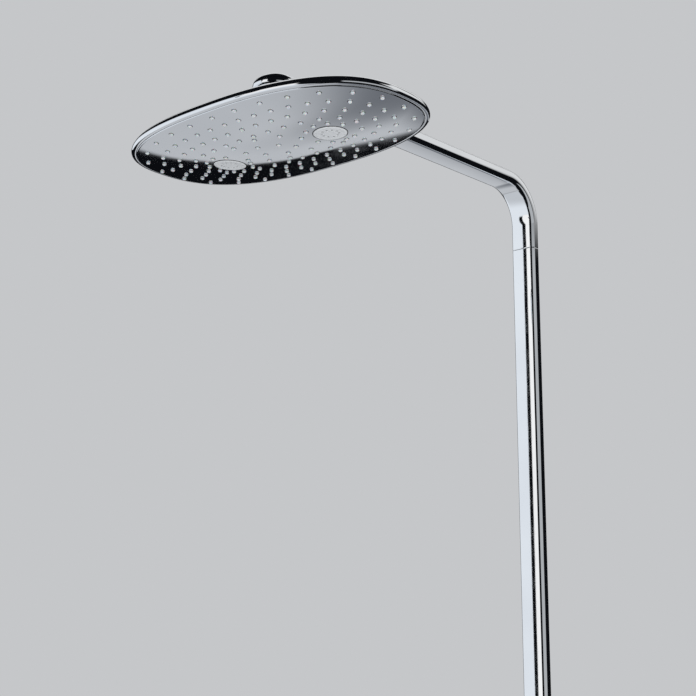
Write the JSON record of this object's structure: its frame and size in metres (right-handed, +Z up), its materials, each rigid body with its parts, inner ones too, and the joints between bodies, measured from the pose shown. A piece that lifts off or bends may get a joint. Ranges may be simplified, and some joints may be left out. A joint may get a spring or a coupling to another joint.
{
  "type": "rainfall shower column",
  "caption": "Wall-hung shower column: wide oval rain head on a ball joint, swivelling bent arm, flat chrome riser and a bar mixer with two handles.",
  "frame": {"origin": "middle of the wall bracket's back face, on the wall", "axes": "+Z up along the column, -Y out of the wall towards the shower head, +X to the cold inlet"},
  "size_m": [0.36, 0.646, 1.165],
  "materials": {
    "chrome": "polished",
    "mirror_chrome": "mirror polished",
    "silicone": "satin translucent white",
    "pale_plastic": "satin moon white",
    "dark_plastic": "satin",
    "rubber": "matte",
    "steel": "brushed",
    "brass": "machined",
    "hose": "satin"
  },
  "bodies": {
    "column": {"riser_tube": "chrome", "swivel_housing": "brass", "swivel_grub_screw": "steel", "rain_pipe": "brass", "massage_pipe": "brass", "wall_bracket_plate": "steel", "wall_bracket_cover": "chrome", "wall_bracket_arm": "chrome", "wall_bracket_grub_screw": "steel", "mixer_body": "chrome", "union_nut_hot": "chrome", "wall_union_hot": "chrome", "escutcheon_hot": "chrome", "filter_washer_hot": "rubber", "check_valve_hot": "dark_plastic", "union_nut_cold": "chrome", "wall_union_cold": "chrome", "escutcheon_cold": "chrome", "filter_washer_cold": "rubber", "check_valve_cold": "dark_plastic", "thermostat_cartridge": "brass", "diverter_cartridge": "brass", "riser_foot_collar": "chrome"},
    "arm": {"arm_tube": "chrome", "hub_body": "chrome", "hub_cap": "chrome", "hub_manifold": "dark_plastic", "rain_hose": "hose", "massage_hose": "hose", "swivel_spigot": "brass", "swivel_inner_tube": "dark_plastic", "spigot_oring_lower": "rubber", "spigot_oring_upper": "rubber", "ball_stem": "brass", "stem_oring": "rubber"},
    "ball_ring": {"ball_friction_ring": "dark_plastic"},
    "head": {"head_top_shell": "chrome", "spray_face": "mirror_chrome", "nozzle_mat": "silicone", "water_chamber": "dark_plastic", "chamber_gasket": "rubber", "massage_disc_left": "pale_plastic", "massage_housing_left": "dark_plastic", "massage_disc_right": "pale_plastic", "massage_housing_right": "dark_plastic", "head_screw_1": "steel", "head_screw_2": "steel", "head_screw_3": "steel", "head_screw_4": "steel", "ball_socket": "brass", "inlet_strainer": "steel", "socket_nut": "chrome"},
    "temperature_handle": {"temperature_handle": "chrome", "temperature_cap": "chrome", "temperature_screw": "steel"},
    "safety_button": {"safety_button": "dark_plastic"},
    "diverter_handle": {"diverter_handle": "chrome", "diverter_cap": "chrome", "diverter_screw": "steel"}
  },
  "joints": [
    {"name": "arm_swivel", "type": "hinge", "parent": "column", "child": "arm", "pos_m": [0, -0.068, 0.616], "axis": [0, 0, 1], "range_deg": [-45, 45]},
    {"name": "head_tilt", "type": "hinge", "parent": "arm", "child": "ball_ring", "pos_m": [0, -0.538, 0.678], "axis": [1, 0, 0], "range_deg": [-12, 12]},
    {"name": "head_roll", "type": "hinge", "parent": "ball_ring", "child": "head", "pos_m": [0, -0.538, 0.678], "axis": [0, 1, 0], "range_deg": [-12, 12]},
    {"name": "temperature_turn", "type": "hinge", "parent": "column", "child": "temperature_handle", "pos_m": [-0.1, -0.068, -0.42], "axis": [1, 0, 0], "range_deg": [-40, 140]},
    {"name": "safety_press", "type": "slide", "parent": "temperature_handle", "child": "safety_button", "axis": [0, 0, -1], "range_m": [0, 0.0015], "stiffness_N_per_m": 800},
    {"name": "diverter_turn", "type": "hinge", "parent": "column", "child": "diverter_handle", "pos_m": [0.1, -0.068, -0.42], "axis": [1, 0, 0], "range_deg": [-90, 90]}
  ]
}
